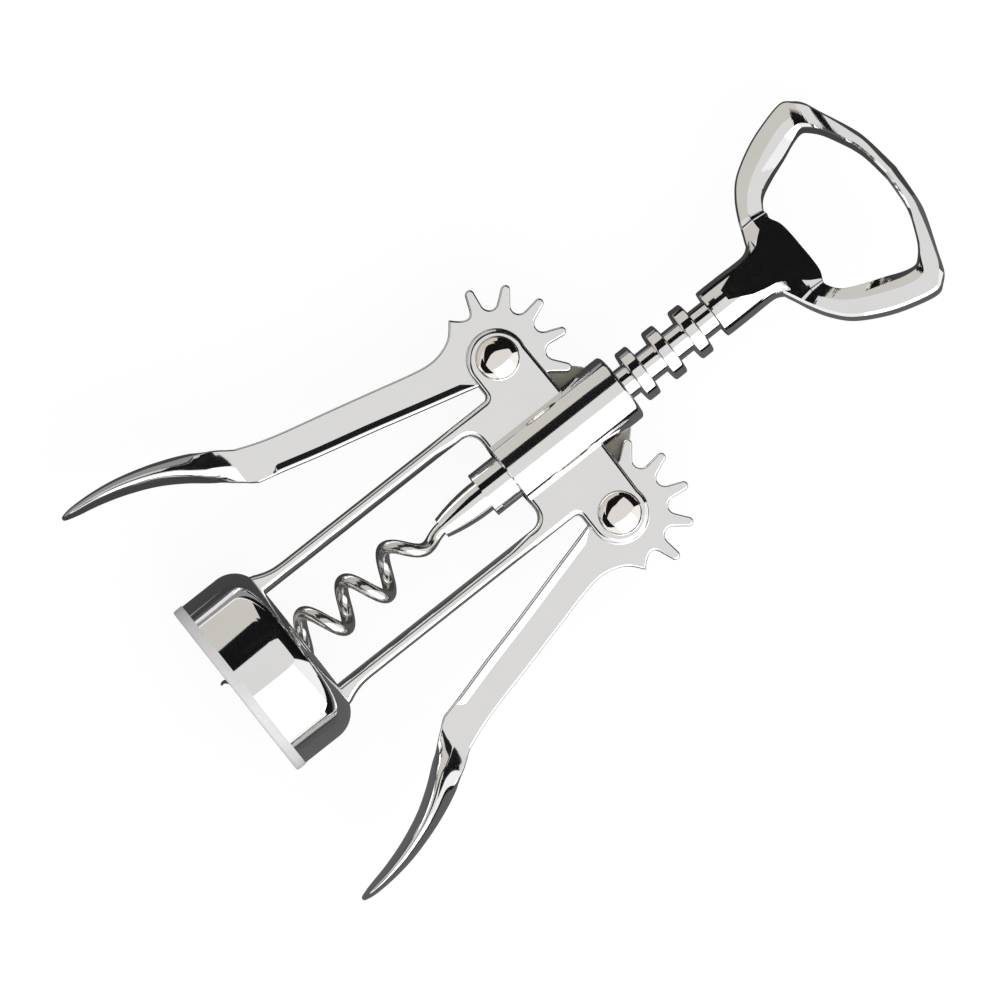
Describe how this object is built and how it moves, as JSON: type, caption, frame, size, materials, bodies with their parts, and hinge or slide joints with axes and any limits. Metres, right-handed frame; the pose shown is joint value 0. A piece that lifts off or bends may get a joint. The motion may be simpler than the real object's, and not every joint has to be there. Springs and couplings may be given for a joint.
{
  "type": "wing corkscrew",
  "caption": "Chromed wing corkscrew: the geared wings drive a ringed spindle with a worm through a bell, under a loop handle with a cap lifter.",
  "frame": {"origin": "centre of the bell's mouth, on the spindle axis, in the plane of the plastic ring's rim", "axes": "+Y along the spindle from the bell to the handle, X across the two wings, +Z out of the plane the wings swing in, towards the riveted domes"},
  "size_m": [0.101, 0.1801, 0.0412],
  "materials": {
    "mirror_chrome": "mirror polished plating",
    "satin_chrome": "fine satin plating",
    "dome_chrome": "mirror polished plating",
    "worm_steel": "bright plated wire",
    "rod_steel": "plain drawn steel",
    "ring_plastic": "milky, slightly shiny",
    "washer_plastic": "plain"
  },
  "bodies": {
    "frame": {"front_frame": "satin_chrome", "rear_frame": "satin_chrome", "bell": "mirror_chrome", "bell_ring": "ring_plastic", "left_rivet": "dome_chrome", "right_rivet": "dome_chrome", "left_rivet_cap": "dome_chrome", "right_rivet_cap": "dome_chrome", "left_front_washer": "washer_plastic", "left_rear_washer": "washer_plastic", "right_front_washer": "washer_plastic", "right_rear_washer": "washer_plastic"},
    "rack": {"rack_spindle": "mirror_chrome"},
    "screw": {"handle": "mirror_chrome", "spindle_rod": "rod_steel", "worm_holder": "mirror_chrome", "worm": "worm_steel"},
    "left_lever": {"left_wing": "satin_chrome"},
    "right_lever": {"right_wing": "satin_chrome"}
  },
  "joints": [
    {"name": "spindle_slide", "type": "slide", "parent": "frame", "child": "rack", "axis": [0, 1, 0], "range_m": [-0.0232, 0.003]},
    {"name": "handle_turn", "type": "hinge", "parent": "rack", "child": "screw", "pos_m": [0, 0.1, 0], "axis": [0, 1, 0], "continuous": true},
    {"name": "left_wing_hinge", "type": "hinge", "parent": "frame", "child": "left_lever", "pos_m": [-0.0202, 0.0845, 0], "axis": [0, 0, 1], "range_deg": [-100.6, 13.4]},
    {"name": "right_wing_hinge", "type": "hinge", "parent": "frame", "child": "right_lever", "pos_m": [0.0202, 0.0845, 0], "axis": [0, 0, 1], "range_deg": [-13.4, 100.6]}
  ],
  "couplings": [
    {"joint": "left_wing_hinge", "follows": "spindle_slide", "rad_per_m": 75.338},
    {"joint": "right_wing_hinge", "follows": "spindle_slide", "rad_per_m": -75.338}
  ]
}
